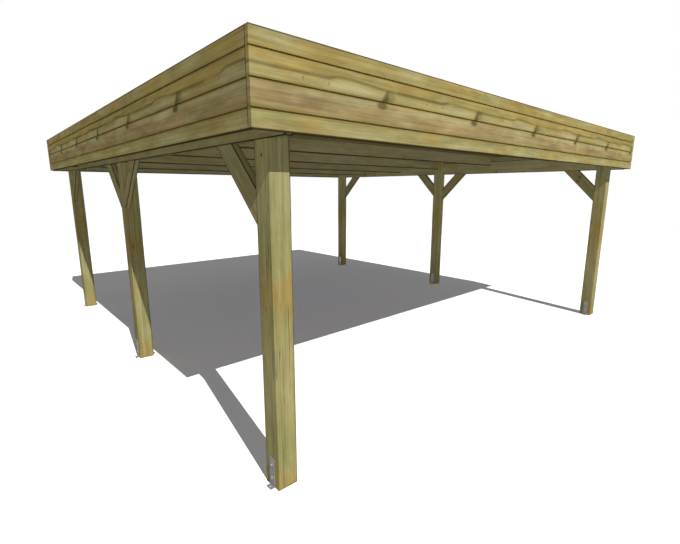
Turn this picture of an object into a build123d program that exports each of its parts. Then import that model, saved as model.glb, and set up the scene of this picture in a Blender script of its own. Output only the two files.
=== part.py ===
from build123d import *
import os
from math import sqrt

os.makedirs("parts", exist_ok=True)

# A flat-roofed timber carport for two cars: six posts in two rows, a beam along each row,
# knee braces, and joists that fall to the back behind a level fascia of shiplap boards.
# Inside the fascia a kerb stands on the deck all round, and the membrane is turned up over it.
# The origin is on the ground under the middle of the roof. X goes right, Y to the back, Z up.

# Overall sizes
ROOF_WIDTH = 6000
ROOF_DEPTH = 6000
CLEAR_HEIGHT = 2100

# Posts, set in from the outer faces of the fascia
POST_SIZE = 140
POST_ARRIS = 4
SIDE_SETBACK = 198
END_SETBACK = 184

# Planks: side beams, knee braces and roof frame share one thickness
PLANK = 47
PLANK_ARRIS = 3
BEAM_DEPTH = 195
BRACE_DEPTH = 145
BRACE_LEG = 460
JOIST_DEPTH = 145
JOIST_BAYS = 6
SIDE_RIM_DEPTH = 120

# Roof covering: the underside of the deck stands this far above the beams' underside at the front
DECK_RISE = 334
ROOF_FALL = 185
DECK = 18
MEMBRANE = 3
KERB_DROP = 12

# Fascia: four shiplap boards a side, each with a tongue behind the lip of the board above
FASCIA_LIFT = 12
FASCIA_HEIGHT = 440
BOARD = 28
BOARD_COUNT = 4
BOARD_COVER = 130
BOTTOM_COVER = 97
TONGUE = 12
LAP = 12
LAP_GAP = 1
COVE = 9

# Post anchors: a bent steel angle on each side face of a post
ANCHOR_PLATE = 5
ANCHOR_WIDTH = 50
ANCHOR_HEIGHT = 200
ANCHOR_FOOT = 32
ANCHOR_BEND = 4
ANCHOR_HOLE = 11
FOOT_HOLE_OUT = 19
LOWER_BOLT = 60
UPPER_BOLT = 150

# Where the faces lie
X_FACE = ROOF_WIDTH / 2
Y_FACE = ROOF_DEPTH / 2
X_BACKING = X_FACE - BOARD
Y_BACKING = Y_FACE - BOARD
POST_OUTER = X_FACE - SIDE_SETBACK
POST_INNER = POST_OUTER - POST_SIZE
BEAM_INNER = POST_OUTER - PLANK
POST_X = POST_OUTER - POST_SIZE / 2
BEAM_X = POST_OUTER - PLANK / 2
POST_Y = Y_FACE - END_SETBACK - POST_SIZE / 2
RIM_X = X_BACKING - PLANK
RIM_Y = Y_BACKING - PLANK
BEAM_TOP = CLEAR_HEIGHT + BEAM_DEPTH
FASCIA_BOTTOM = CLEAR_HEIGHT + FASCIA_LIFT
FASCIA_TOP = FASCIA_BOTTOM + FASCIA_HEIGHT
KERB_TOP = FASCIA_TOP - KERB_DROP

SIDES = {"left": -1, "right": 1}
POST_LINES = {"front": -POST_Y, "middle": 0, "back": POST_Y}
FASCIA_SIDES = {"front": (0, -1), "back": (0, 1), "left": (-1, 0), "right": (1, 0)}

# The sloping underside of the deck, which cuts the tops of all that carries it
DECK_PLANE = Plane(
    origin=(0, -Y_FACE, CLEAR_HEIGHT + DECK_RISE),
    x_dir=(1, 0, 0),
    z_dir=(0, ROOF_FALL, ROOF_DEPTH),
)


def deck_height(y):
    """Height of the underside of the deck at a distance y behind the middle of the roof."""
    return CLEAR_HEIGHT + DECK_RISE - ROOF_FALL * (y + Y_FACE) / ROOF_DEPTH


def sloping_outline(y_front, y_back, below, above):
    """Corners, in the YZ plane, of a piece that follows the deck's underside, with plumb ends."""
    return [
        (y_front, deck_height(y_front) - below),
        (y_back, deck_height(y_back) - below),
        (y_back, deck_height(y_back) + above),
        (y_front, deck_height(y_front) + above),
    ]


def level_outline(y_front, y_back, above, level):
    """Corners, in the YZ plane, of a piece from a height above the deck's top to a level one."""
    return [
        (y_front, deck_height(y_front) + DECK + above),
        (y_back, deck_height(y_back) + DECK + above),
        (y_back, level),
        (y_front, level),
    ]


def joist_end(y):
    """Half the length of a joist: it stops at the beams, or at the posts where it meets a pair."""
    reach = (POST_SIZE + PLANK) / 2
    meets_posts = any(abs(y - post_y) < reach for post_y in POST_LINES.values())
    return POST_INNER if meets_posts else BEAM_INNER


# Posts: the outer side is cut back to carry the beam, and the rest runs up to the deck
for side, sign in SIDES.items():
    for line, y in POST_LINES.items():
        with BuildPart() as post:
            with BuildSketch():
                with Locations((sign * POST_X, y)):
                    Rectangle(POST_SIZE, POST_SIZE)
            extrude(amount=CLEAR_HEIGHT + DECK_RISE)
            fillet(post.edges().filter_by(Axis.Z), radius=POST_ARRIS)
            split(bisect_by=DECK_PLANE, keep=Keep.BOTTOM)
            with BuildSketch(Plane.XY.offset(CLEAR_HEIGHT)):
                with Locations((sign * BEAM_X, y)):
                    Rectangle(PLANK, POST_SIZE)
            extrude(amount=DECK_RISE, mode=Mode.SUBTRACT)
        post.part.label = f"post_{line}_{side}"
        export_step(post.part, f"parts/post_{line}_{side}.step")

# Post anchors: one angle on each side face, bolted through the post and down to its footing
for side, sign in SIDES.items():
    for line, y in POST_LINES.items():
        with BuildPart() as anchor:
            for outward in (-1, 1):
                face = sign * POST_X + outward * POST_SIZE / 2
                root = face + outward * ANCHOR_PLATE
                toe = face + outward * ANCHOR_FOOT
                with BuildSketch(Plane.XZ.offset(-y)) as angle:
                    Polygon(
                        (face, 0),
                        (toe, 0),
                        (toe, ANCHOR_PLATE),
                        (root, ANCHOR_PLATE),
                        (root, ANCHOR_HEIGHT),
                        (face, ANCHOR_HEIGHT),
                        align=None,
                    )
                    fillet(angle.vertices().sort_by_distance((face, 0))[0], radius=ANCHOR_BEND)
                    fillet(angle.vertices().sort_by_distance((root, ANCHOR_PLATE))[0], radius=ANCHOR_BEND)
                extrude(amount=ANCHOR_WIDTH / 2, both=True)
                with BuildSketch(Plane.XY):
                    with Locations((face + outward * FOOT_HOLE_OUT, y)):
                        Circle(ANCHOR_HOLE / 2)
                extrude(amount=ANCHOR_PLATE, mode=Mode.SUBTRACT)
            with BuildSketch(Plane.YZ.offset(sign * POST_X)):
                with Locations((y, LOWER_BOLT), (y, UPPER_BOLT)):
                    Circle(ANCHOR_HOLE / 2)
            extrude(amount=POST_SIZE / 2 + ANCHOR_PLATE, both=True, mode=Mode.SUBTRACT)
        anchor.part.label = f"anchor_{line}_{side}"
        export_step(anchor.part, f"parts/anchor_{line}_{side}.step")

# Side beams: flush with the posts' outer faces, tapered at the back under the falling deck
for side, sign in SIDES.items():
    with BuildPart() as beam:
        with BuildSketch(Plane.YZ.offset(sign * BEAM_X)):
            Polygon(
                (-Y_BACKING, CLEAR_HEIGHT),
                (RIM_Y, CLEAR_HEIGHT),
                (RIM_Y, BEAM_TOP),
                (-Y_BACKING, BEAM_TOP),
                align=None,
            )
        extrude(amount=PLANK / 2, both=True)
        split(bisect_by=DECK_PLANE, keep=Keep.BOTTOM)
        long_edges = beam.faces().filter_by(Axis.X).edges().filter_by(Axis.Z, reverse=True)
        fillet(long_edges, radius=PLANK_ARRIS)
    beam.part.label = f"beam_{side}"
    export_step(beam.part, f"parts/beam_{side}.step")

# Knee braces: planks at 45 degrees under each beam, numbered from the front to the back
BRACE_FEET = [
    (POST_LINES["front"], 1),
    (POST_LINES["middle"], -1),
    (POST_LINES["middle"], 1),
    (POST_LINES["back"], -1),
]
BRACE_UPPER_LEG = BRACE_LEG - BRACE_DEPTH * sqrt(2)
for side, sign in SIDES.items():
    for number, (post_y, toward) in enumerate(BRACE_FEET, start=1):
        foot = post_y + toward * POST_SIZE / 2
        with BuildPart() as brace:
            with BuildSketch(Plane.YZ.offset(sign * BEAM_X)):
                Polygon(
                    (foot, CLEAR_HEIGHT - BRACE_LEG),
                    (foot + toward * BRACE_LEG, CLEAR_HEIGHT),
                    (foot + toward * BRACE_UPPER_LEG, CLEAR_HEIGHT),
                    (foot, CLEAR_HEIGHT - BRACE_UPPER_LEG),
                    align=None,
                )
            extrude(amount=PLANK / 2, both=True)
            slope = Axis(origin=(0, foot, 0), direction=(0, toward, 1))
            fillet(brace.edges().filter_by(slope), radius=PLANK_ARRIS)
        brace.part.label = f"knee_brace_{side}_{number}"
        export_step(brace.part, f"parts/knee_brace_{side}_{number}.step")

# Joists: hung between the beams, each with a short outrigger on both sides out to the side rims.
# Like the rims they are ripped to the fall of the roof on top, and their lower arrises are eased.
for number in range(1, JOIST_BAYS):
    y = -Y_FACE + number * ROOF_DEPTH / JOIST_BAYS
    outline = sloping_outline(y - PLANK / 2, y + PLANK / 2, JOIST_DEPTH, 0)
    with BuildPart() as joist:
        with BuildSketch(Plane.YZ):
            Polygon(*outline, align=None)
        extrude(amount=joist_end(y), both=True)
        with BuildSketch(Plane.YZ.offset(POST_OUTER)):
            Polygon(*outline, align=None)
        extrude(amount=RIM_X - POST_OUTER)
        with BuildSketch(Plane.YZ.offset(-RIM_X)):
            Polygon(*outline, align=None)
        extrude(amount=RIM_X - POST_OUTER)
        lower_edges = joist.edges().filter_by(Axis.X).filter_by_position(
            Axis.Z, minimum=0, maximum=deck_height(y) - JOIST_DEPTH / 2)
        fillet(lower_edges, radius=PLANK_ARRIS)
    joist.part.label = f"joist_{number}"
    export_step(joist.part, f"parts/joist_{number}.step")

# Front rim: stands on the two beams behind the fascia
with BuildPart() as rim_front:
    with BuildSketch(Plane.XY.offset(BEAM_TOP)):
        with Locations((0, -Y_BACKING + PLANK / 2)):
            Rectangle(2 * X_BACKING, PLANK)
    extrude(amount=DECK_RISE)
    split(bisect_by=DECK_PLANE, keep=Keep.BOTTOM)
    fillet(rim_front.edges().filter_by(Axis.X).sort_by(Axis.Z)[:2], radius=PLANK_ARRIS)
rim_front.part.label = "rim_front"
export_step(rim_front.part, "parts/rim_front.step")

# Back rim: closes the back ends of the beams
with BuildPart() as rim_back:
    with BuildSketch(Plane.YZ):
        Polygon(*sloping_outline(RIM_Y, Y_BACKING, JOIST_DEPTH, 0), align=None)
    extrude(amount=X_BACKING, both=True)
    fillet(rim_back.edges().filter_by(Axis.X).sort_by(Axis.Z)[:2], radius=PLANK_ARRIS)
rim_back.part.label = "rim_back"
export_step(rim_back.part, "parts/rim_back.step")

# Side rims: carry the edges of the deck between the front and the back rim
for side, sign in SIDES.items():
    with BuildPart() as rim:
        with BuildSketch(Plane.YZ.offset(sign * (RIM_X + PLANK / 2))):
            Polygon(*sloping_outline(-RIM_Y, RIM_Y, SIDE_RIM_DEPTH, 0), align=None)
        extrude(amount=PLANK / 2, both=True)
        long_edges = rim.faces().filter_by(Axis.X).edges().filter_by(Axis.Z, reverse=True)
        fillet(long_edges.sort_by(Axis.Z)[:2], radius=PLANK_ARRIS)
    rim.part.label = f"rim_{side}"
    export_step(rim.part, f"parts/rim_{side}.step")

# Roof deck, inside the fascia
with BuildPart() as roof_deck:
    with BuildSketch(Plane.YZ):
        Polygon(*sloping_outline(-Y_BACKING, Y_BACKING, 0, DECK), align=None)
    extrude(amount=X_BACKING, both=True)
roof_deck.part.label = "roof_deck"
export_step(roof_deck.part, "parts/roof_deck.step")

# Kerbs: planks on edge on the deck, level at the top, that back the upper fascia boards
for line, sign in {"front": -1, "back": 1}.items():
    y_front, y_back = sorted((sign * RIM_Y, sign * Y_BACKING))
    with BuildPart() as kerb:
        with BuildSketch(Plane.YZ):
            Polygon(*level_outline(y_front, y_back, 0, KERB_TOP), align=None)
        extrude(amount=X_BACKING, both=True)
    kerb.part.label = f"kerb_{line}"
    export_step(kerb.part, f"parts/kerb_{line}.step")
for side, sign in SIDES.items():
    with BuildPart() as kerb:
        with BuildSketch(Plane.YZ.offset(sign * (RIM_X + PLANK / 2))):
            Polygon(*level_outline(-RIM_Y, RIM_Y, 0, KERB_TOP), align=None)
        extrude(amount=PLANK / 2, both=True)
    kerb.part.label = f"kerb_{side}"
    export_step(kerb.part, f"parts/kerb_{side}.step")

# Roof membrane: lies on the deck, and is turned up and over the kerbs to the back of the fascia
SHEET_X = RIM_X - MEMBRANE
SHEET_Y = RIM_Y - MEMBRANE
SHEET_TOP = KERB_TOP + MEMBRANE
with BuildPart() as roof_membrane:
    with BuildSketch(Plane.YZ):
        Polygon(*level_outline(-Y_BACKING, Y_BACKING, 0, SHEET_TOP), align=None)
    extrude(amount=X_BACKING, both=True)
    with BuildSketch(Plane.XY):
        Rectangle(2 * X_BACKING, 2 * Y_BACKING)
        Rectangle(2 * RIM_X, 2 * RIM_Y, mode=Mode.SUBTRACT)
    extrude(amount=KERB_TOP, mode=Mode.SUBTRACT)
    with BuildSketch(Plane.YZ):
        Polygon(*level_outline(-SHEET_Y, SHEET_Y, MEMBRANE, SHEET_TOP), align=None)
    extrude(amount=SHEET_X, both=True, mode=Mode.SUBTRACT)
    folds = roof_membrane.faces().sort_by(Axis.Z)[-1].inner_wires()[0].edges()
    fillet(folds, radius=MEMBRANE)
roof_membrane.part.label = "roof_membrane"
export_step(roof_membrane.part, "parts/roof_membrane.step")

# Fascia: the front and back boards cover the ends of the side boards
LIP = TONGUE + LAP_GAP
for side, (out_x, out_y) in FASCIA_SIDES.items():
    section_plane = Plane(
        origin=(out_x * X_BACKING, out_y * Y_BACKING, 0),
        x_dir=(out_x, out_y, 0),
        z_dir=(out_y, -out_x, 0),
    )
    length = ROOF_WIDTH if out_y else 2 * Y_BACKING
    with BuildPart() as fascia:
        for board in range(BOARD_COUNT):
            lowest = board == 0
            highest = board == BOARD_COUNT - 1
            bottom = FASCIA_BOTTOM if lowest else FASCIA_BOTTOM + BOTTOM_COVER + (board - 1) * BOARD_COVER
            top = FASCIA_TOP if highest else FASCIA_BOTTOM + BOTTOM_COVER + board * BOARD_COVER
            tongue_top = top if highest else top + LAP - LAP_GAP
            tongue_face = BOARD if highest else TONGUE
            rebate_top = bottom if lowest else bottom + LAP
            lip_back = 0 if lowest else LIP
            with BuildSketch(section_plane):
                with BuildLine():
                    Polyline((tongue_face, tongue_top), (0, tongue_top), (0, rebate_top))
                    if not lowest:
                        Polyline((0, rebate_top), (lip_back, rebate_top), (lip_back, bottom))
                    Line((lip_back, bottom), (BOARD, bottom))
                    if highest:
                        Line((BOARD, bottom), (BOARD, tongue_top))
                    else:
                        Line((BOARD, bottom), (BOARD, top - COVE))
                        RadiusArc((BOARD, top - COVE), (TONGUE, top), 2 * COVE)
                        Line((TONGUE, top), (TONGUE, tongue_top))
                make_face()
            extrude(amount=length / 2, both=True)
    fascia.part.label = f"fascia_{side}"
    export_step(fascia.part, f"parts/fascia_{side}.step")
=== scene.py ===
import math

import bpy
import numpy as np
from bpy.props import FloatProperty, FloatVectorProperty, PointerProperty
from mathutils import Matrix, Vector


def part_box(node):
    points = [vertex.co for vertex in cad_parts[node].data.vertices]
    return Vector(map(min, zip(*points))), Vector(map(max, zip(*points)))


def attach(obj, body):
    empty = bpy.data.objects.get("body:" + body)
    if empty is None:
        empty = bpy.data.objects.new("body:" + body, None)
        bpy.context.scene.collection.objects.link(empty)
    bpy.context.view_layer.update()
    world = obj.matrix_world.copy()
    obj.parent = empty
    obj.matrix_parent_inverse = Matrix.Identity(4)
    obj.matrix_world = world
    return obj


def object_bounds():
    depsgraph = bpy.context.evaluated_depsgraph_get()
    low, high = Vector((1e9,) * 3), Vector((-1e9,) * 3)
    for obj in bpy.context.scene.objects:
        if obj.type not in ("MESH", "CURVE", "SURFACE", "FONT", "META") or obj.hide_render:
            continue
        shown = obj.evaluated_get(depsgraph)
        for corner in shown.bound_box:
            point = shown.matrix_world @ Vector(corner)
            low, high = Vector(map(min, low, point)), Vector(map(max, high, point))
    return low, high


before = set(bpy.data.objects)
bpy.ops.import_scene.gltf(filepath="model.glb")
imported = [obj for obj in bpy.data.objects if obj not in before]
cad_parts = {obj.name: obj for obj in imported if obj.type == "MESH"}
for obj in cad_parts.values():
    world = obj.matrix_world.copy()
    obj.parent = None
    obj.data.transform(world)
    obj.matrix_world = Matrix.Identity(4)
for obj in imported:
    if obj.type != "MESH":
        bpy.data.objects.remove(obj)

bl_info = {
    "name": "Timber Carport",
    "version": (1, 0, 0),
    "blender": (4, 5, 0),
    "location": "View3D > Sidebar > Carport",
    "description": "Timber, steel and roofing finishes, bolts and a studio for a flat-roofed carport",
    "category": "Object",
}

CAD_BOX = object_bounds()
MM = 0.001


# Sizes and colours that a user would change

class CarportTimber(bpy.types.PropertyGroup):
    straw: FloatVectorProperty(
        name="Straw", description="Main tone of the pressure-treated pine",
        default=(0.419, 0.341, 0.123), subtype="COLOR", min=0, max=1)
    green: FloatVectorProperty(
        name="Green", description="Where the treatment salts tint the sapwood",
        default=(0.343, 0.325, 0.130), subtype="COLOR", min=0, max=1)
    tan: FloatVectorProperty(
        name="Tan", description="Warm patches of heartwood",
        default=(0.419, 0.298, 0.098), subtype="COLOR", min=0, max=1)
    # Also the warm tone of the painted shade in the fascia's grooves
    gold: FloatVectorProperty(
        name="Gold", description="Golden tone of the second fascia board",
        default=(0.418, 0.310, 0.094), subtype="COLOR", min=0, max=1)
    pink: FloatVectorProperty(
        name="Pink", description="Rosy tone of the third fascia board",
        default=(0.401, 0.284, 0.129), subtype="COLOR", min=0, max=1)
    pale: FloatVectorProperty(
        name="Pale", description="Pale grey-green sapwood",
        default=(0.457, 0.405, 0.195), subtype="COLOR", min=0, max=1)
    # Also the dark of the painted shade in the fascia's grooves
    knot: FloatVectorProperty(
        name="Knot", description="Knots and resin streaks",
        default=(0.080, 0.064, 0.014), subtype="COLOR", min=0, max=1)
    # Painted shade: the dark lines along the arrises, and the dark band along the lower edge and
    # underside of the fascia boards
    edge_shade: FloatVectorProperty(
        name="Dirt", description="Dirt that gathers along the arrises",
        default=(0.022, 0.016, 0.004), subtype="COLOR", min=0, max=1)
    ring: FloatProperty(
        name="Ring width", description="Distance between two growth rings",
        default=4.2 * MM, min=1 * MM, max=12 * MM, unit="LENGTH", subtype="DISTANCE")
    # How wide the lines of painted shade along the fascia boards' arrises are
    edge: FloatProperty(
        name="Dark edge", description="Width of the dirt-darkened arrises of the fascia boards",
        default=9 * MM, min=0, max=20 * MM, unit="LENGTH", subtype="DISTANCE")


class CarportSteel(bpy.types.PropertyGroup):
    zinc: FloatVectorProperty(
        name="Zinc", description="Dull galvanised steel",
        default=(0.40, 0.405, 0.41), subtype="COLOR", min=0, max=1)
    flats: FloatProperty(
        name="Across flats", description="Width of a bolt head across its flats",
        default=16 * MM, min=8 * MM, max=24 * MM, unit="LENGTH", subtype="DISTANCE")
    head: FloatProperty(
        name="Head height", description="Thickness of a bolt head",
        default=6.4 * MM, min=3 * MM, max=12 * MM, unit="LENGTH", subtype="DISTANCE")
    thread: FloatProperty(
        name="Thread", description="Outer diameter of the bolt's thread",
        default=10 * MM, min=6 * MM, max=16 * MM, unit="LENGTH", subtype="DISTANCE")
    washer: FloatProperty(
        name="Washer", description="Outer diameter of the washer under a head or a nut",
        default=24 * MM, min=12 * MM, max=40 * MM, unit="LENGTH", subtype="DISTANCE")


class CarportRoofing(bpy.types.PropertyGroup):
    rubber: FloatVectorProperty(
        name="Rubber", description="Black roofing membrane",
        default=(0.030, 0.031, 0.033), subtype="COLOR", min=0, max=1)
    dust: FloatVectorProperty(
        name="Dust", description="Dust and dried puddles on the membrane",
        default=(0.20, 0.19, 0.17), subtype="COLOR", min=0, max=1)


class CarportStage(bpy.types.PropertyGroup):
    floor: FloatVectorProperty(
        name="Floor", description="Pale studio floor",
        default=(0.38, 0.38, 0.38), subtype="COLOR", min=0, max=1)
    key: FloatProperty(
        name="Key light", description="Strength of the key light, in watts per square metre",
        default=2.9, min=0, max=20)
    fill: FloatProperty(
        name="Fill light", description="Strength of each of the four shadowless fill lights",
        default=0.362, min=0, max=20)
    top: FloatProperty(
        name="Top light", description="Strength of the shadowless light from straight above",
        default=0.14, min=0, max=20)
    fill_tint: FloatVectorProperty(
        name="Fill tint", description="Colour of the fill light, cooler than the key light",
        default=(0.96, 0.98, 1.06), subtype="COLOR", min=0, max=2)
    room: FloatProperty(
        name="Room light", description="Strength of the even light from all round",
        default=0.09, min=0, max=5)
    softness: FloatProperty(
        name="Softness", description="Angle that the key light fills, which softens its shadows",
        default=math.radians(0.25), min=0, max=math.radians(40), unit="ROTATION", subtype="ANGLE")
    lens: FloatProperty(
        name="Lens", description="Focal length of the camera on a 36 mm wide sensor",
        default=21.872, min=10, max=200, unit="CAMERA", subtype="DISTANCE_CAMERA")


# Shader maths

class Field:
    """A value that varies over a surface. Arithmetic on it adds Math nodes to its material."""

    def __init__(self, graph, socket):
        self.graph = graph
        self.socket = socket

    def math(self, operation, *terms):
        return self.graph.node("ShaderNodeMath", {"operation": operation}, terms)

    def __add__(self, other):
        return self.math("ADD", self, other)

    def __sub__(self, other):
        return self.math("SUBTRACT", self, other)

    def __rsub__(self, other):
        return self.math("SUBTRACT", other, self)

    def __mul__(self, other):
        return self.math("MULTIPLY", self, other)

    def __truediv__(self, other):
        return self.math("DIVIDE", self, other)

    def __pow__(self, other):
        return self.math("POWER", self, other)

    def __gt__(self, other):
        return self.math("GREATER_THAN", self, other)

    def __lt__(self, other):
        return self.math("LESS_THAN", self, other)

    def __abs__(self):
        return self.math("ABSOLUTE", self)

    __radd__ = __add__
    __rmul__ = __mul__

    def floor(self):
        return self.math("FLOOR", self)

    def fraction(self):
        return self.math("FRACT", self)

    def least(self, other):
        return self.math("MINIMUM", self, other)

    def most(self, other):
        return self.math("MAXIMUM", self, other)

    def rise(self, low, high):
        """0 below low, 1 above high, smooth between them. With low above high it falls instead."""
        flip = low > high
        return self.graph.node(
            "ShaderNodeMapRange", {"interpolation_type": "SMOOTHSTEP"},
            {"Value": self, "From Min": min(low, high), "From Max": max(low, high),
             "To Min": float(flip), "To Max": float(not flip)})

    def band(self, centre, width):
        """1 at centre, falling smoothly to 0 a width away on both sides."""
        return abs(self - centre).rise(width, 0)


class Nodes:
    """The node tree of a material or of the world."""

    def __init__(self, owner):
        owner.use_nodes = True
        self.tree = owner.node_tree

    def node(self, kind, settings=(), inputs=(), output=0):
        """Adds a node: its settings first, then the values or links of its sockets."""
        made = self.tree.nodes.new(kind)
        for key, value in dict(settings).items():
            if key == "stops":
                ramp = made.color_ramp
                while len(ramp.elements) < len(value):
                    ramp.elements.new(0.5)
                for element, (position, colour) in zip(ramp.elements, value):
                    element.position = position
                    element.color = (*colour, 1)
            elif key == "steps":
                made.color_ramp.interpolation = value
            else:
                setattr(made, key, value)
        pairs = inputs.items() if isinstance(inputs, dict) else enumerate(inputs)
        for key, value in pairs:
            self.feed(made.inputs[key], value)
        return Field(self, made.outputs[output])

    def feed(self, socket, value):
        """Links a value that varies to a socket, or sets a plain one on it."""
        if isinstance(value, Field):
            self.tree.links.new(value.socket, socket)
        else:
            socket.default_value = value


class Graph(Nodes):
    """The nodes of one material, which reads Object coordinates."""

    def __init__(self, name):
        self.material = bpy.data.materials.new(name)
        super().__init__(self.material)
        self.surface = self.tree.nodes["Principled BSDF"]
        self.point = self.node("ShaderNodeTexCoord", output="Object")

    def split(self, vector):
        """The three parts of a vector or colour."""
        made = self.node("ShaderNodeSeparateXYZ", (), [vector])
        outputs = made.socket.node.outputs
        return [Field(self, outputs[axis]) for axis in range(3)]

    def join(self, *parts):
        return self.node("ShaderNodeCombineXYZ", (), parts)

    def noise(self, vector, stretch, shift, detail=3.0, roughness=0.55):
        """Fractal noise from 0 to 1, with the coordinates stretched and then shifted."""
        place = self.node("ShaderNodeMapping", (), {
            "Vector": vector, "Scale": stretch, "Location": shift})
        return self.node("ShaderNodeTexNoise", (), {
            "Vector": place, "Scale": 1.0, "Detail": detail, "Roughness": roughness})

    def mix(self, factor, first, second, blend="MIX"):
        """Goes from the first colour to the second as the factor goes from 0 to 1."""
        first, second = (c if isinstance(c, Field) else (*c, 1) for c in (first, second))
        return self.node(
            "ShaderNodeMix", {"data_type": "RGBA", "blend_type": blend},
            {0: factor, 6: first, 7: second}, output=2)

    def scale(self, colour, factor):
        return self.node("ShaderNodeVectorMath", {"operation": "SCALE"}, {0: colour, "Scale": factor})

    def finish(self, colour, roughness, height, depth, metallic=0.0, specular=0.5):
        """Feeds the surface. height is a relief from 0 to 1, and depth its size in metres."""
        bump = self.node("ShaderNodeBump", (), {"Height": height, "Distance": depth, "Strength": 1.0})
        self.feed(self.surface.inputs["Base Color"], colour)
        self.feed(self.surface.inputs["Roughness"], roughness)
        self.feed(self.surface.inputs["Metallic"], metallic)
        self.feed(self.surface.inputs["Specular IOR Level"], specular)
        self.feed(self.surface.inputs["Normal"], bump)
        return self.material


# Timber

# How a piece whose grain lies along its local X is turned to each axis
TURN_TO = {"X": (0, 0, 0), "Y": (0, 0, math.pi / 2), "Z": (0, -math.pi / 2, 0)}
# What a piece's number is multiplied by, to draw its grain from a place of its own
SEED_STEP = 1.37
# How far the pith wanders, and how far the rings swell round a knot
WANDER = 0.045
SWELL = 0.010
# Cells that may have a knot, for each metre of length and each radian round the pith, and the
# share of them that have none
CELLS_ALONG = 2.1
CELLS_ROUND = 0.55
KNOTLESS = 0.84
KNOT_RADIUS = 0.014


def grain(graph, along, across, through, pith, ring, seed):
    """Growth rings, fibres and knots of one piece of wood.

    The distance from the pith, a line along the piece, is bent by slow noise, and its fraction
    of a ring width gives the rings. Knots are round spots on the cylinder about the pith: each
    cell of a random pattern over length and angle may have one, so a knot widens away from the
    pith.
    """
    place = graph.join(along, across, through)
    bend = graph.noise(place, (0.8, 3.0, 3.0), (seed, 0, 3), detail=2.0)
    lean = graph.noise(place, (0.6, 2.0, 2.0), (0, seed, 7), detail=2.0)
    side = across - pith[0] + (bend - 0.5) * WANDER
    deep = through - pith[1] + (lean - 0.5) * WANDER
    radius = (side * side + deep * deep) ** 0.5
    angle = graph.node("ShaderNodeMath", {"operation": "ARCTAN2"}, [deep, side])
    cell = graph.node(
        "ShaderNodeTexVoronoi", {"voronoi_dimensions": "2D"},
        {"Vector": graph.join(along * CELLS_ALONG + seed, angle * CELLS_ROUND, 0.0),
         "Scale": 1.0, "Randomness": 0.9})
    outputs = cell.socket.node.outputs
    chance = graph.split(Field(graph, outputs["Color"]))
    spot = graph.split(Field(graph, outputs["Position"]))
    away_along = (along + seed / CELLS_ALONG) - spot[0] / CELLS_ALONG
    away_round = (angle - spot[1] / CELLS_ROUND) * radius
    away = (away_along * away_along * 0.6 + away_round * away_round) ** 0.5
    size = chance[0].rise(0.60, 1.1) * KNOT_RADIUS + 0.1 * MM
    near = away / size
    has_knot = chance[0] > KNOTLESS
    knot = near.rise(1.15, 0.70) * has_knot
    halo = near.rise(3.6, 0.9) * has_knot
    phase = ((radius + halo * SWELL) / ring).fraction()
    late = phase ** 3.0
    fibre = graph.noise(place, (7.0, 420.0, 420.0), (0, 0, seed), detail=2.0)
    streak = graph.noise(place, (0.9, 48.0, 48.0), (seed, 1, 0), detail=3.0).rise(0.28, 0.72)
    mottle = graph.noise(place, (4.0, 17.0, 17.0), (1, seed, 4), detail=4.0, roughness=0.6)
    mottle = mottle.rise(0.28, 0.72)
    line = graph.noise(place, (0.8, 110.0, 110.0), (seed, 2, 6), detail=1.0).rise(0.57, 0.70)
    patch = graph.noise(place, (0.9, 5.0, 5.0), (seed, 5, 2), detail=3.0)
    warm = graph.noise(place, (1.3, 3.0, 3.0), (2, seed, 9), detail=2.0)
    cloud = graph.noise(place, (5.0, 16.0, 16.0), (6, 3, seed), detail=3.0)
    return {"late": late, "fibre": fibre, "streak": streak, "mottle": mottle, "line": line,
            "patch": patch, "warm": warm, "cloud": cloud, "knot": knot, "halo": halo, "place": place}


def edge_distance(parts, half):
    """How far a point of a box's surface is from the nearest edge: the middle one, by size, of
    its distances from the three pairs of faces, of which the least is zero."""
    first, second, third = (h - abs(part) for part, h in zip(parts, half))
    return first.least(second).most(first.most(second).least(third))


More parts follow.
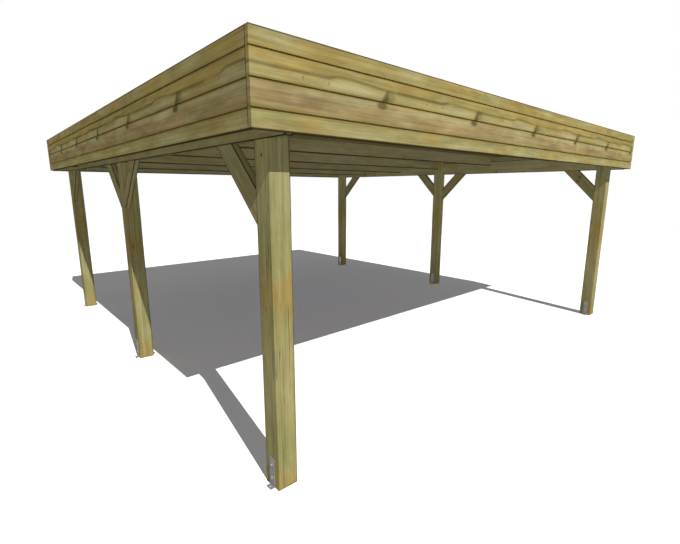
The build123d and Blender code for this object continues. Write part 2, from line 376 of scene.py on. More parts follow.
def timber(name, centre, turn, half, seed, pith, checks=0.0, tone=(1.0, 1.0, 1.0), faded=0.0,
           edge_width=0.018, edge_depth=0.9, clean="", warm_at=(), pale_at=()):
    """A piece of pressure-treated pine with its own grain, along its local X.

    tone tints it as a whole: painted light and shade, which sets how dark and how cool the piece
    reads in its light. faded is the least share of pale sapwood. edge_width and edge_depth say how
    wide and how dark its lines of painted shade along the arrises are, and clean which arrises go
    without them: the upper ones, two corners that face each other, or none. warm_at and pale_at are
    where along it the heartwood shows as a tan zone, and where the sapwood is bleached.
    """
    tones = bpy.context.scene.carport_timber
    graph = Graph(name)
    local = graph.node(
        "ShaderNodeMapping", {"vector_type": "TEXTURE"},
        {"Vector": graph.point, "Location": centre, "Rotation": turn})
    along, across, through = graph.split(local)
    wood = grain(graph, along, across, through, pith, tones.ring, seed)
    colour = graph.mix(wood["patch"].rise(0.36, 0.64), tones.straw, tones.green)
    bleached = (wood["cloud"].rise(0.50, 0.72) * 0.5).most(faded)
    warm = wood["warm"].rise(0.54, 0.70) * 0.6
    ragged = along + (wood["cloud"] - 0.5) * 0.5
    pale_reach, warm_reach = 0.42, 0.20
    for middle in pale_at:
        bleached = bleached.most(ragged.band(middle, pale_reach).rise(0.0, 0.8) * 0.5)
    for middle in warm_at:
        warm = warm.most(ragged.band(middle, warm_reach).rise(0.0, 0.8) * 0.75)
    colour = graph.mix(bleached, colour, tones.pale)
    colour = graph.mix(warm, colour, tones.tan)
    edge = edge_distance((along, across, through), half)
    # Painted shade: a dark line along each arris, but for those that clean leaves out
    outline = edge.rise(edge_width, edge_width * 0.4)
    if clean == "upper":
        outline = outline * (through < 0.0)
    elif clean == "corners":
        outline = outline * (across * through > 0.0)
    # Darker towards every edge, by a tenth at the edge itself
    edge_darkening = edge.rise(25 * MM, 0.0)
    crack = graph.noise(wood["place"], (0.55, 30.0, 30.0), (seed, 8, 8), detail=1.0).band(0.5, 0.006)
    crack = crack * checks
    shade = (1.08 + (wood["fibre"] - 0.5) * 0.40 + (wood["streak"] - 0.5) * 0.24
             + (wood["mottle"] - 0.5) * 0.22 - wood["line"] * 0.26
             - wood["late"] * 0.16 - wood["halo"] * 0.15)
    shade = shade * (1 - edge_darkening * 0.10) * (1 - crack * 0.6)
    # Painted light and shade: the tint sets how dark and how cool the whole piece reads
    colour = graph.mix(1.0, graph.scale(colour, shade), tone, "MULTIPLY")
    colour = graph.mix(wood["knot"] * 0.75, colour, tones.knot)
    # The lines of painted shade along the arrises
    colour = graph.mix(outline * edge_depth, colour, tones.edge_shade)
    roughness = 0.74 + wood["fibre"] * 0.16 - wood["knot"] * 0.2
    relief = wood["fibre"] * 0.5 + wood["late"] * 0.35 - crack * 0.9
    return graph.finish(colour, roughness, relief, 0.6 * MM, specular=0.0)


def dress(node, material):
    """Gives a CAD node its finish, in place of the plain one that it was packed with."""
    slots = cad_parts[node].data.materials
    slots.clear()
    slots.append(material)


def straight_timber(node, axis, seed, reach, **finish):
    """Dresses a node whose grain runs along X, Y or Z. reach is how far its pith may be from
    its middle, in half sections."""
    low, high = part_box(node)
    half = (high - low) / 2
    half = {"X": half, "Y": Vector((half.y, half.x, half.z)),
            "Z": Vector((half.z, half.y, half.x))}[axis]
    draw = np.random.default_rng(seed)
    pith = draw.uniform(-reach, reach, 2) * np.array((half.y, half.z))
    dress(node, timber("wood_" + node, (low + high) / 2, TURN_TO[axis], half, seed * SEED_STEP, pith,
                       **finish))


def nodes_named(start):
    """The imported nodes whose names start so, in the order of their names."""
    found = sorted(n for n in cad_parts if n.startswith(start))
    if not found:
        raise RuntimeError("the packed model has no node whose name starts with " + start)
    return found


class CARPORT_OT_posts(bpy.types.Operator):
    """Dress the posts in heart-centred pine with drying checks"""
    bl_idname = "carport.posts"
    bl_label = "Posts"

    reach = 0.5
    # Heights of the tan zones and of the bleached ones between them, and the tints of the posts
    # that differ from the rest: painted light and shade, the middle left post darker and the middle
    # right one lighter and cooler
    tan_heights = (0.02, 1.25, 2.44)
    pale_heights = (0.72, 1.91)
    tones = {"post_middle_left": (0.95, 0.96, 0.98), "post_middle_right": (1.05, 1.08, 1.16)}

    def execute(self, context):
        for seed, node in enumerate(nodes_named("post_"), start=1):
            centre = sum(corner.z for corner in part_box(node)) / 2
            # The dark lines along the arrises are painted shade, and so are the two middle posts'
            # tints
            straight_timber(node, "Z", seed, self.reach, checks=1.0,
                            tone=self.tones.get(node, (1.0, 1.0, 1.0)),
                            edge_width=0.009, edge_depth=0.75, clean="corners",
                            warm_at=[height - centre for height in self.tan_heights],
                            pale_at=[height - centre for height in self.pale_heights])
        return {"FINISHED"}


class CARPORT_OT_roof_frame(bpy.types.Operator):
    """Dress the beams, joists, rims and kerbs in sawn pine planks"""
    bl_idname = "carport.roof_frame"
    bl_label = "Beams, joists, rims and kerbs"

    first_seed = 21
    reach = 1.6
    # The tint of each kind of plank, painted shade that darkens and cools the pieces under the roof,
    # how wide the lines of painted shade along its arrises are, and which arrises go without them
    shade_tints_and_lines = {"beam_left": ((0.84, 0.85, 0.90), 0.010, ""),
                "beam_right": ((0.99, 1.02, 1.16), 0.010, ""),
                "joist_": ((0.84, 0.85, 0.98), 0.016, "upper"),
                "rim_": ((0.86, 0.87, 1.0), 0.018, "upper"),
                "kerb_": ((0.86, 0.87, 1.0), 0.018, "upper")}
    # joist_1 has a wider line of painted shade along its lower arrises
    wider = {"joist_1": 0.031}

    def execute(self, context):
        seed = self.first_seed
        for start, (tone, edge_width, clean) in self.shade_tints_and_lines.items():
            for node in nodes_named(start):
                low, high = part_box(node)
                axis = "X" if high.x - low.x > high.y - low.y else "Y"
                straight_timber(node, axis, seed, self.reach, tone=tone, faded=0.45,
                                edge_width=self.wider.get(node, edge_width), clean=clean)
                seed += 1
        return {"FINISHED"}


class CARPORT_OT_braces(bpy.types.Operator):
    """Dress the knee braces, whose grain runs along their 45 degree slope"""
    bl_idname = "carport.braces"
    bl_label = "Knee braces"

    first_seed = 41
    depth = 0.145
    reach = 1.2

    def execute(self, context):
        for seed, node in enumerate(nodes_named("knee_brace_"), start=self.first_seed):
            low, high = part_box(node)
            leg, plank = high.z - low.z, high.x - low.x
            # The first and the third brace of a row rise to the back, the others to the front
            toward = 1 if node[-1] in "13" else -1
            lift = self.depth / 2 * math.sqrt(0.5)
            centre = (low + high) / 2 + Vector((0, -toward * lift, lift))
            half = Vector((leg, plank / 2, self.depth / 2))
            draw = np.random.default_rng(seed)
            pith = draw.uniform(-self.reach, self.reach, 2) * np.array((half.y, half.z))
            turn = (0, -math.pi / 4, toward * math.pi / 2)
            # The darker, cooler tint and the dark lines along the arrises are painted shade
            dress(node, timber("wood_" + node, centre, turn, half, seed * SEED_STEP, pith,
                               tone=(0.92, 0.93, 1.08), edge_width=0.009, edge_depth=0.8))
        return {"FINISHED"}


# Fascia

# Heights at which the three upper boards begin, and what each shows of its face
GROOVES = (2.209, 2.339, 2.469)
COVER = 0.130
# The marks on the boards come back after this length
REPEAT = 1.0
# How far each board is cut along the pattern from the one below
BOARD_SHIFT = 5.3
# Patches of another tone that come back in every length: the board, the share of the length at
# which they lie, their height, half length, half depth and strength, and their tone
PATCHES = (
    ("top", 0.13, 2.525, 0.13, 0.040, 0.70, "pale"),
    ("top", 0.55, 2.515, 0.30, 0.050, 0.70, "gold"),
    ("third", 0.66, 2.305, 0.21, 0.038, 0.90, "pale"),
    ("third", 0.36, 2.312, 0.06, 0.028, 0.60, "pale"),
    ("bottom", 0.75, 2.140, 0.30, 0.035, 0.75, "pale"),
    ("bottom", 0.75, 2.196, 0.33, 0.020, 0.80, "green"),
    ("bottom", 0.12, 2.186, 0.14, 0.028, 0.80, "green"),
    ("bottom", 0.36, 2.160, 0.09, 0.050, 0.80, "tan"),
    ("second", 0.08, 2.376, 0.16, 0.024, 0.60, "green"),
)
# The growth line of the second board: its height, how far it steps up at the middle of each
# length, and how far it wanders
LINE_LEVEL = 2.399
LINE_STEP = 0.018
LINE_WANDER = 0.012
# The spike knot: the share of the length at which it lies, the height of its foot, how far it
# leans and how fast it thins for each metre upwards, and half its width at the foot
SPIKE_AT = 0.892
SPIKE_FOOT = 2.340
SPIKE_LEAN = 0.41
SPIKE_TAPER = 0.36
SPIKE_WIDTH = 0.034
# Where the two drying checks of each length stand
CHECKS_AT = (0.296, 0.463)


class Boards:
    """The four shiplap boards of one side, in one finish.

    Their marks come back after every repeat, counted from start along the axis, and step is 1 or
    -1 so that they read from left to right from outside.
    """

    def __init__(self, side, axis, start, step, seed):
        self.tones = bpy.context.scene.carport_timber
        self.graph = Graph("boards_" + side)
        self.axis = axis
        self.point = self.graph.split(self.graph.point)
        self.height = self.point[2]
        run = self.point["XY".index(axis)]
        self.distance = (run - start) * step
        # The number of the board, from 0 at the bottom, and a mask for each of them
        first, second, third = (self.height > level for level in GROOVES)
        self.board = first + second + third
        self.on = {"bottom": self.board < 0.5, "third": (self.board > 0.5) * (self.board < 1.5),
                   "second": (self.board > 1.5) * (self.board < 2.5), "top": self.board > 2.5}
        rise = self.height - self.board * COVER - (GROOVES[0] - COVER)
        self.wood = grain(self.graph, run + self.board * BOARD_SHIFT,
                          rise - COVER / 2 + self.board * 0.011, self.board * 0.006,
                          (0.012, 0.055), self.tones.ring * 1.3, seed)
        count = (self.distance / REPEAT).floor()
        self.vary = self.graph.node(
            "ShaderNodeTexWhiteNoise", {"noise_dimensions": "2D"},
            {"Vector": self.graph.join(count, self.board * 1.7 + seed, 0.0)})

    def beside(self, share):
        """How far along the board a point is from the nearest mark, which stands at the same
        share of every length."""
        return ((self.distance / REPEAT - share + 0.5).fraction() - 0.5) * REPEAT

    def patch(self, share, level, length, depth):
        """An oval of another tone with a ragged rim: 1 in its middle and 0 outside."""
        reach = (self.beside(share) / length) ** 2 + ((self.height - level) / depth) ** 2
        return (reach + (self.wood["cloud"] - 0.5) * 1.4).rise(1.25, -0.2)

    def above_line(self):
        """Height above the growth line of the second board, which steps up at the middle of each
        length and sinks back to its end."""
        share = (self.distance / REPEAT).fraction()
        step = share.rise(0.45, 0.56) * share.rise(0.97, 0.56) * LINE_STEP
        return self.height - (step + (self.wood["warm"] - 0.5) * LINE_WANDER + LINE_LEVEL)

    def tone(self, above):
        """Each board's own tone, with its patches of sapwood and heartwood. above is the height
        above the growth line."""
        graph, tones, wood, on = self.graph, self.tones, self.wood, self.on
        stops = [(0.0, tones.straw), (0.2, tones.pink), (0.5, tones.gold), (0.8, tones.straw)]
        colour = graph.node(
            "ShaderNodeValToRGB", {"steps": "CONSTANT", "stops": stops}, [self.board / 3 + 0.05])
        sapwood = wood["patch"].rise(0.38, 0.62) * (0.40 + on["bottom"] * 0.35)
        colour = graph.mix(sapwood, colour, tones.green)
        heartwood = wood["warm"].rise(0.46, 0.64) * (0.30 + on["top"] * 0.30)
        colour = graph.mix(heartwood, colour, tones.tan)
        colour = graph.mix(wood["cloud"].rise(0.52, 0.70) * 0.5, colour, tones.pale)
        # The second board is paler below its growth line
        below = above.rise(0.004, -0.040) * on["second"]
        below = below * (0.35 + self.patch(0.66, 2.37, 0.26, 0.06) * 0.60)
        colour = graph.mix(below, colour, tones.pale)
        # The third board is bleached along its upper half
        colour = graph.mix(self.height.rise(2.275, 2.315) * on["third"] * 0.35, colour, tones.pale)
        for name, share, level, length, depth, strength, tint in PATCHES:
            mask = self.patch(share, level, length, depth) * on[name] * strength
            colour = graph.mix(mask, colour, getattr(tones, tint))
        return colour

    def spike(self):
        """A spike knot in every length: above the middle groove a wedge that leans and thins
        upwards, and below the groove a soft blot."""
        across = self.beside(SPIKE_AT)
        up = self.height - SPIKE_FOOT
        wedge = abs(across - up * SPIKE_LEAN) / (SPIKE_WIDTH - up * SPIKE_TAPER)
        wedge = wedge.rise(1.5, 0.3) * up.rise(-0.006, 0.0) * up.rise(0.068, 0.052)
        wedge = wedge * (0.55 + up.rise(0.060, 0.0) * 0.45)
        blot = ((across + 0.022) / 0.050) ** 2 + ((up + 0.024) / 0.027) ** 2
        blot = (blot + (self.wood["cloud"] - 0.5) * 0.8).rise(1.35, 0.1)
        return wedge.most(blot * 0.9)

    def checks(self):
        """Two short drying checks in every length, below the growth line."""
        first, second = (self.beside(share).band(0.0, 0.005) for share in CHECKS_AT)
        return first.most(second) * self.height.band(2.374, 0.018)

    def grooves(self):
        """The strips of shade where each upper board begins."""
        first, second, third = (self.height.band(level - 4 * MM, 21 * MM) for level in GROOVES)
        return first.most(second).most(third)

    def edge_shade(self, side, lower_shade):
        """Painted shade: dark lines along the arrises, but not on the front and back boards' ends,
        and a dark band along the lower edge and the underside, as far up from the lower edge as the
        second argument says."""
        low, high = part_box("fascia_" + side)
        middle, half = (low + high) / 2, (high - low) / 2
        if self.axis == "X":
            half.x += 1
        width = self.tones.edge
        edge = edge_distance([part - centre for part, centre in zip(self.point, middle)], half)
        # Painted shade: dark lines along the arrises above the lower edge
        outline = edge.rise(width, width * 0.4) * (self.height > low.z + width) * 0.75
        # Painted shade along the lower edge and on the underside of the boards
        underside_shade = (self.height - low.z).rise(lower_shade, lower_shade * 0.5) * 0.84
        return outline.most(underside_shade)

    def finish(self, side, lower_shade):
        """The boards' material, from the tone up to the painted shade along the edges."""
        graph, tones, wood, on = self.graph, self.tones, self.wood, self.on
        above = self.above_line()
        checks, groove = self.checks(), self.grooves()
        # Green sapwood behind the spike knot
        behind = self.patch(0.940, 2.374, 0.052, 0.042) * on["second"]
        colour = graph.mix(behind * 0.8, self.tone(above), tones.green)
        # Painted shade in the grooves, first a warmer, golden tone
        colour = graph.mix(groove * 0.8, colour, tones.gold)
        shade = (1.05 + (wood["fibre"] - 0.5) * 0.40 + (wood["streak"] - 0.5) * 0.28
                 + (wood["mottle"] - 0.5) * 0.28 - wood["line"] * 0.14
                 - wood["late"] * 0.12 + (self.vary - 0.5) * 0.08)
        dull = (self.patch(0.27, 2.250, 0.30, 0.06) * on["third"] * 0.14
                + self.patch(0.86, 2.520, 0.08, 0.05) * on["top"] * 0.12 + behind * 0.34)
        line = above.band(0.0, 0.015) * on["second"] * (0.5 + wood["cloud"].rise(0.30, 0.55) * 0.5)
        colour = graph.scale(colour, (shade - dull) * (1 - line * 0.42))
        # Then darker in the grooves, in the knots' colour: painted shade
        dark = (self.spike() * (0.76 + self.vary * 0.12)).most(checks * 0.75).most(groove * 0.27)
        colour = graph.mix(dark, colour, tones.knot)
        # Painted shade along the arrises, the lower edge and the underside
        colour = graph.mix(self.edge_shade(side, lower_shade), colour, tones.edge_shade)
        roughness = 0.72 + wood["fibre"] * 0.18
        relief = wood["fibre"] * 0.5 + wood["late"] * 0.3 - checks * 0.5
        return graph.finish(colour, roughness, relief, 0.5 * MM, specular=0.0)


class CARPORT_OT_fascia(bpy.types.Operator):
    """Dress the shiplap boards of the four fascia sides"""
    bl_idname = "carport.fascia"
    bl_label = "Fascia boards"

    def execute(self, context):
        # For each side: the axis along it, where its first length begins and which way they are
        # counted, its number, and how high the painted shade along its lower edge reaches
        low, high = CAD_BOX
        runs = {"front": ("X", low.x, 1, 61.3, 0.008), "back": ("X", high.x, -1, 67.9, 0.008),
                "left": ("Y", low.y + 0.76, -1, 64.1, 0.007), "right": ("Y", low.y, 1, 71.7, 0.007)}
        for side, (axis, start, step, seed, lower_shade) in runs.items():
            boards = Boards(side, axis, start, step, seed)
            dress("fascia_" + side, boards.finish(side, lower_shade))
        return {"FINISHED"}


# Roof covering

class CARPORT_OT_covering(bpy.types.Operator):
    """Dress the roof deck in plywood sheets and the membrane in dusty black rubber"""
    bl_idname = "carport.covering"
    bl_label = "Deck and membrane"

    # Length of a sheet of plywood, and distance between two creases of the membrane
    sheet_length = 2.0
    fold_length = 1.5

    def execute(self, context):
        dress("roof_deck", self.plywood(context.scene.carport_timber))
        dress("roof_membrane", self.rubber(context.scene.carport_roofing))
        return {"FINISHED"}

    def plywood(self, tones):
        """Sheets two joist bays long and one wide, in staggered rows, of peeled veneer."""
        graph = Graph("plywood_deck")
        x, y, z = graph.split(graph.point)
        row = y.floor()
        shift = x + (row * 0.5).fraction() * self.sheet_length
        sheet = (shift / self.sheet_length).floor()
        seam = abs((shift / self.sheet_length).fraction() - 0.5)
        joint = seam.rise(0.4985, 0.4995).most(abs(y.fraction() - 0.5).rise(0.497, 0.499))
        place = graph.join(x + sheet * 3.1, y + row * 1.9, z)
        veneer = graph.noise(place, (1.2, 14.0, 4.0), (3, 1, 0), detail=4.0, roughness=0.6)
        bands = abs((veneer * 9.0).fraction() - 0.5)
        tint = graph.node("ShaderNodeTexWhiteNoise", {"noise_dimensions": "2D"},
                          {"Vector": graph.join(sheet, row, 0.0)})
        colour = graph.mix(veneer.rise(0.3, 0.7), tones.pale, tones.tan)
        colour = graph.scale(colour, (0.58 + bands * 0.34 + (tint - 0.5) * 0.22) * (1 - joint * 0.7))
        return graph.finish(colour, 0.8 + bands * 0.1, veneer - joint, 0.5 * MM, specular=0.0)

    def rubber(self, tones):
        """One sheet with the creases of its folding, dust, and a dried puddle at its low end."""
        graph = Graph("rubber_membrane")
        x, y, _ = graph.split(graph.point)
        soft = graph.noise(graph.point, (0.7, 0.7, 0.7), (4, 2, 0), detail=5.0)
        speck = graph.noise(graph.point, (60.0, 60.0, 60.0), (0, 0, 0), detail=3.0)
        fold = graph.noise(graph.point, (0.35, 3.2, 1.0), (1, 6, 0), detail=2.0)
        wet = soft + y.rise(-1.0, 2.9) * 0.18
        puddle = wet.rise(0.50, 0.78)
        rim = wet.band(0.58, 0.035)
        across, down = (((part / self.fold_length).fraction() - 0.5).band(0.0, 0.008)
                        for part in (x, y))
        crease = across.most(down)
        dusty = puddle * 0.15 + speck.rise(0.45, 0.8) * 0.22 + rim * 0.04 + crease * 0.07
        colour = graph.mix(dusty, tones.rubber, tones.dust)
        relief = fold * 0.8 + crease * 0.2 + speck * 0.03
        return graph.finish(colour, 0.60 + puddle * 0.10 + speck * 0.10, relief, 6 * MM)


# Steel

def zinc_finish(name, zinc):
    """Hot-dip galvanised steel: flat crystals that each catch the light in their own way, and
    earth splashed over the lowest 100 mm."""
    graph = Graph(name)
    crystal = graph.node("ShaderNodeTexVoronoi", (), {"Vector": graph.point, "Scale": 190.0})
    tint = graph.split(Field(graph, crystal.socket.node.outputs["Color"]))[0]
    cloud = graph.noise(graph.point, (22.0, 22.0, 22.0), (0, 0, 0), detail=4.0)
    height = graph.split(graph.point)[2]
    splash = height.rise(0.10, 0.0) * cloud.rise(0.35, 0.7)
    earth = (0.17, 0.15, 0.11)
    colour = graph.mix(cloud.rise(0.35, 0.75) * 0.5, zinc, tuple(c * 1.45 for c in zinc))
    colour = graph.scale(colour, 0.86 + tint * 0.26)
    colour = graph.mix(splash * 0.45, colour, earth)
    roughness = 0.42 + tint * 0.16 + splash * 0.3
    relief = tint * 0.4 + cloud * 0.6
    return graph.finish(colour, roughness, relief, 0.15 * MM, metallic=0.45 - splash * 0.3)


def turned(radii, heights, centre, way, sides):
    """A surface of revolution, or of a turned polygon, about a line along X through centre.

    A point stands its height along X, and its radius times the cosine and the sine of its angle
    along Y and Z. radii has a row for each height and a column for each angle, way is 1 or -1 as
    the heights go up or down X, and both ends close on a point.
    """
    angles = np.linspace(0, math.tau, sides, endpoint=False)
    radii = np.broadcast_to(radii, (len(heights), sides))
    lift = np.broadcast_to(np.asarray(heights)[:, None], radii.shape)
    rim = np.stack([lift, radii * np.cos(angles), radii * np.sin(angles)], axis=-1).reshape(-1, 3)
    points = np.vstack([rim, [[heights[0], 0, 0]], [[heights[-1], 0, 0]]])
    points = points * np.array((way, 1, 1)) + np.asarray(centre)
    ring, step = np.meshgrid(np.arange(len(heights) - 1), np.arange(sides), indexing="ij")
    here, after = ring * sides + step, ring * sides + (step + 1) % sides
    walls = np.stack([here, after, after + sides, here + sides], axis=-1).reshape(-1, 4)
    first = np.arange(sides)
    second = (first + 1) % sides
    last = (len(heights) - 1) * sides
    start = np.stack([second, first, np.full(sides, len(rim))], axis=-1)
    end = np.stack([last + first, last + second, np.full(sides, len(rim) + 1)], axis=-1)
    if way < 0:
        walls, start, end = walls[:, ::-1], start[:, ::-1], end[:, ::-1]
    return points, walls.tolist() + start.tolist() + end.tolist()


def hexagon(flats, sides):
    """Distance from the middle of a hexagon to its side, for each of the angles round it: half
    the width across its flats, over the cosine of the angle from the nearest flat's middle."""
    angles = np.linspace(0, math.tau, sides, endpoint=False)
    return flats / 2 / np.cos((angles + math.pi / 6) % (math.pi / 3) - math.pi / 6)


def hex_block(flats, height, sides):
    """Profile of a bolt head or nut: the hexagon, cut by a 30 degree cone at its outer end. Each
    radius is the lesser of the hexagon's and the cone's at that height."""
    heights = np.array([0, height * 0.70, height * 0.80, height * 0.90, height, height])
    cone = flats * 0.475 + (height - heights) / math.tan(math.radians(30))
    radii = np.minimum(hexagon(flats, sides)[None, :], cone[:, None])
    radii[-1] = flats * 0.44
    return radii, heights


def mesh_piece(name, parts, material):
    """One object from several closed surfaces, each a pair of its points and its faces."""
    points, faces = [], []
    for surface, quads in parts:
        base = sum(len(p) for p in points)
        points.append(surface)
        faces.extend([base + i for i in face] for face in quads)
    mesh = bpy.data.meshes.new(name)
    mesh.from_pydata(np.vstack(points).tolist(), [], faces)
    mesh.materials.append(material)
    mesh.validate()
    piece = bpy.data.objects.new(name, mesh)
    bpy.context.scene.collection.objects.link(piece)
    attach(piece, "root")
    return piece


class CARPORT_OT_anchors(bpy.types.Operator):
    """Dress the post anchors and put two bolts through each pair, with washers and nuts"""
    bl_idname = "carport.anchors"
    bl_label = "Anchors and bolts"

    # Heights of the two bolts, thickness of the anchors' steel, and sides of a turned piece
    levels = (0.060, 0.150)
    plate = 0.005
    sides = 48

    def execute(self, context):
        steel = context.scene.carport_steel
        zinc = zinc_finish("zinc_anchors", steel.zinc)
        bright = zinc_finish("zinc_bolts", tuple(c * 1.05 for c in steel.zinc))
        for node in nodes_named("anchor_"):
            dress(node, zinc)
            post_low, post_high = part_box(node.replace("anchor_", "post_"))
            middle = (post_low + post_high) / 2
            out = 1 if middle.x > 0 else -1
            parts = []
            for level in self.levels:
                for way in (out, -out):
                    face = middle.x + way * ((post_high.x - post_low.x) / 2 + self.plate)
                    parts += self.fastening(steel, (face, middle.y, level), way, nut=way != out)
            piece = mesh_piece(node.replace("anchor_", "bolts_"), parts, bright)
        return {"FINISHED"}

    def fastening(self, steel, centre, way, nut):
        """A washer and a head, or a washer, a nut and the threaded end of the bolt.

        The thread's depth at a height and an angle follows from how many turns lie below it, the
        height over the pitch plus the angle in turns: it is least at whole turns, and the last
        rows are cut back to a chamfer.
        """
        washer = 2 * MM
        radii = np.array([0.5, 0.5, 0.485, 0.47])[:, None] * steel.washer
        parts = [turned(radii, np.array([0, 0.75, 1.0, 1.0]) * washer, centre, way, self.sides)]
        seat = (centre[0] + way * washer, centre[1], centre[2])
        height = steel.head * (1.25 if nut else 1.0)
        radii, heights = hex_block(steel.flats, height, self.sides)
        parts.append(turned(radii, heights, seat, way, self.sides))
        if nut:
            pitch, depth, end, rows = 1.5 * MM, 0.9 * MM, 5 * MM, 28
            heights = np.linspace(0, end, rows)
            angles = np.linspace(0, 1, self.sides, endpoint=False)
            turns = heights[:, None] / pitch + angles[None, :]
            ridge = np.abs(turns % 1 - 0.5) * 2
            radii = steel.thread / 2 - (1 - ridge) * depth
            chamfer = steel.thread / 2 - np.array([0.2, 0.5, 0.9, 1.4]) * MM
            radii[-4:] = np.minimum(radii[-4:], chamfer[:, None])
            top = (seat[0] + way * height, seat[1], seat[2])
            parts.append(turned(radii, heights, top, way, self.sides))
        return parts


# Studio

class CARPORT_OT_stage(bpy.types.Operator):
    """Make the floor, the lights and the camera"""
    bl_idname = "carport.stage"
    bl_label = "Studio"

    # Where the camera stands, and the headings and climbs, in degrees, of its view and of the
    # four fill lights. Lights are given by the way that they shine
    eye = (-4.0134, -4.7415, 1.841)
    heading = 48.281
    climb = -11.389
    key_path = (0.186, 1.005, -1.0)
    fill_headings = (45, 135, 225, 315)
    fill_climb = 5
    lamp_distance = 8.0
    # The floor as the camera sees it, and the glow that it has under the roof
    pale = (1.69, 1.69, 1.70)
    glow = (0.24, 0.37, 1.0)

    def execute(self, context):
        stage = context.scene.carport_stage
        self.floor(stage)
        self.lights(context, stage)
        self.backdrop(context, stage)
        self.camera(context, stage)
        context.scene.view_settings.view_transform = "Standard"
        return {"FINISHED"}

    def floor(self, stage):
        """A wide disc on a polar grid, whose rings spread out with the square of their number."""
        rings, spokes, reach, level = 24, 96, 90.0, -0.5 * MM
        radii = reach * np.linspace(0, 1, rings + 1)[1:] ** 2
        angles = np.linspace(0, math.tau, spokes, endpoint=False)
        rim = np.stack([radii[:, None] * np.cos(angles), radii[:, None] * np.sin(angles),
                        np.full((rings, spokes), level)], axis=-1).reshape(-1, 3)
        points = np.vstack([rim, [[0, 0, level]]])
        ring, step = np.meshgrid(np.arange(rings - 1), np.arange(spokes), indexing="ij")
        here, after = ring * spokes + step, ring * spokes + (step + 1) % spokes
        quads = np.stack([here, here + spokes, after + spokes, after], axis=-1).reshape(-1, 4)
        first = np.arange(spokes)
        hub = np.stack([first, (first + 1) % spokes, np.full(spokes, len(rim))], axis=-1)
        mesh = bpy.data.meshes.new("studio_floor")
        mesh.from_pydata(points.tolist(), [], quads.tolist() + hub.tolist())
        graph = Graph("floor_paint")
        x, y, _ = graph.split(graph.point)
        fade = ((x * x + y * y) ** 0.5).rise(9.0, 20.0)
        behind = y + 0.4
        under = ((x * x + behind * behind) ** 0.5).rise(6.0, 0.5)
        self.floor_shader(graph, stage, fade, under)
        mesh.materials.append(graph.material)
        floor = bpy.data.objects.new("studio_floor", mesh)
        bpy.context.scene.collection.objects.link(floor)

    def floor_shader(self, graph, stage, fade, under):
        """Matt paint that the camera sees paler than the light that it throws back, and that goes
        over into the white of the backdrop far away. Under the roof a faint cool glow takes out
        the yellow that the timber throws on it."""
        paint = graph.node("ShaderNodeBsdfDiffuse", (), {"Color": (*stage.floor, 1)})
        pale = graph.node("ShaderNodeBsdfDiffuse", (), {"Color": (*self.pale, 1)})
        glow = graph.node("ShaderNodeEmission", (), {"Color": (*self.glow, 1), "Strength": 1.0})
        seen = graph.node("ShaderNodeMixShader", (), [under * 0.05, pale, glow])
        white = graph.node("ShaderNodeEmission", (), {"Color": (1, 1, 1, 1), "Strength": 1.0})
        looked_at = graph.node("ShaderNodeLightPath", output="Is Camera Ray")
        near = graph.node("ShaderNodeMixShader", (), [fade, seen, white])
        both = graph.node("ShaderNodeMixShader", (), [looked_at, paint, near])
        output = graph.tree.nodes["Material Output"]
        graph.feed(output.inputs["Surface"], both)

    def lamp(self, context, name, path, energy, angle):
        """A light as far off as the sun, that shines along the path."""
        light = bpy.data.lights.new(name, "SUN")
        light.energy = energy
        light.angle = angle
        lamp = bpy.data.objects.new(name, light)
        lamp.rotation_mode = "QUATERNION"
        lamp.rotation_quaternion = Vector(path).to_track_quat("-Z", "Y")
        lamp.location = -Vector(path) * self.lamp_distance
        context.scene.collection.objects.link(lamp)
        return light

    def lights(self, context, stage):
        """The key light, and five fill lights without shadows."""
        self.lamp(context, "key_light", self.key_path, stage.key, stage.softness)
        climb = math.tan(math.radians(self.fill_climb))
        fills = {"top_light": ((0, 0, -1), stage.top)}
        for heading in self.fill_headings:
            turn = math.radians(heading)
            fills["fill_light_%d" % heading] = (math.cos(turn), math.sin(turn), climb), stage.fill
        for name, (path, energy) in fills.items():
            fill = self.lamp(context, name, path, energy, 0.0)
            fill.color = stage.fill_tint
            fill.use_shadow = False

    def backdrop(self, context, stage):
        """A room of even light, which the camera sees white."""
        world = bpy.data.worlds.new("backdrop")
        nodes = Nodes(world)
        room = nodes.node("ShaderNodeBackground", (), {"Color": (1, 1, 1, 1), "Strength": stage.room})
        white = nodes.node("ShaderNodeBackground", (), {"Color": (1, 1, 1, 1), "Strength": 1.0})
        looked_at = nodes.node("ShaderNodeLightPath", output="Is Camera Ray")
        both = nodes.node("ShaderNodeMixShader", (), [looked_at, room, white])
        output = nodes.tree.nodes["World Output"]
        nodes.feed(output.inputs["Surface"], both)
        context.scene.world = world

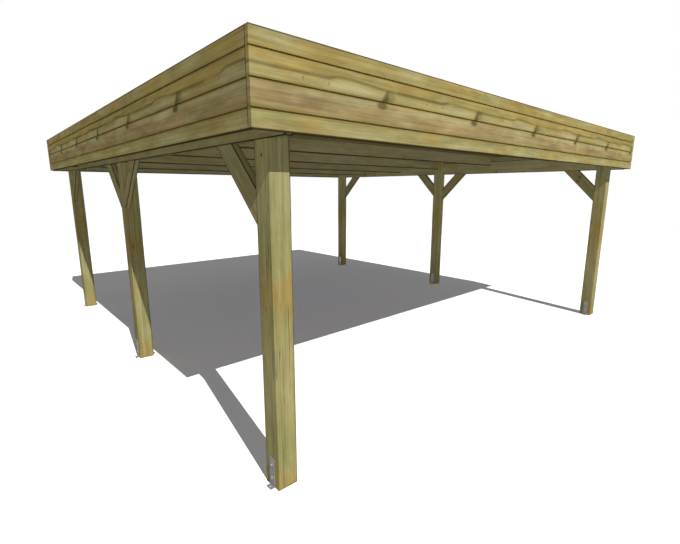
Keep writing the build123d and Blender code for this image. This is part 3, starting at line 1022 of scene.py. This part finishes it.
    def camera(self, context, stage):
        """The view of the photograph, from near the front left corner."""
        data = bpy.data.cameras.new("camera")
        data.sensor_width = 36
        data.lens = stage.lens
        data.clip_end = 300
        camera = bpy.data.objects.new("camera", data)
        camera.location = self.eye
        heading, climb = math.radians(self.heading), math.radians(self.climb)
        look = Vector((math.cos(climb) * math.cos(heading), math.cos(climb) * math.sin(heading),
                       math.sin(climb)))
        camera.rotation_mode = "QUATERNION"
        camera.rotation_quaternion = look.to_track_quat("-Z", "Y")
        context.scene.collection.objects.link(camera)
        context.scene.camera = camera


OPERATORS = (CARPORT_OT_posts, CARPORT_OT_roof_frame, CARPORT_OT_braces, CARPORT_OT_fascia,
             CARPORT_OT_covering, CARPORT_OT_anchors, CARPORT_OT_stage)
GROUPS = {"carport_timber": CarportTimber, "carport_steel": CarportSteel,
          "carport_roofing": CarportRoofing, "carport_stage": CarportStage}


class CARPORT_PT_panel(bpy.types.Panel):
    """Lists the steps that dress the carport, and their sizes and colours"""
    bl_idname = "CARPORT_PT_panel"
    bl_label = "Carport"
    bl_space_type = "VIEW_3D"
    bl_region_type = "UI"
    bl_category = "Carport"

    def draw(self, context):
        for step in OPERATORS:
            self.layout.operator(step.bl_idname)
        for name, group in GROUPS.items():
            box = self.layout.box()
            for key in group.__annotations__:
                box.prop(getattr(context.scene, name), key)


def register():
    for group in GROUPS.values():
        bpy.utils.register_class(group)
    for name, group in GROUPS.items():
        setattr(bpy.types.Scene, name, PointerProperty(type=group))
    for step in (*OPERATORS, CARPORT_PT_panel):
        bpy.utils.register_class(step)


def unregister():
    for step in reversed((*OPERATORS, CARPORT_PT_panel)):
        bpy.utils.unregister_class(step)
    for name in GROUPS:
        delattr(bpy.types.Scene, name)
    for group in reversed(GROUPS.values()):
        bpy.utils.unregister_class(group)


def main():
    register()
    bpy.ops.carport.posts()
    bpy.ops.carport.roof_frame()
    bpy.ops.carport.braces()
    bpy.ops.carport.fascia()
    bpy.ops.carport.covering()
    bpy.ops.carport.anchors()
    bpy.ops.carport.stage()


if __name__ == "__main__":
    main()
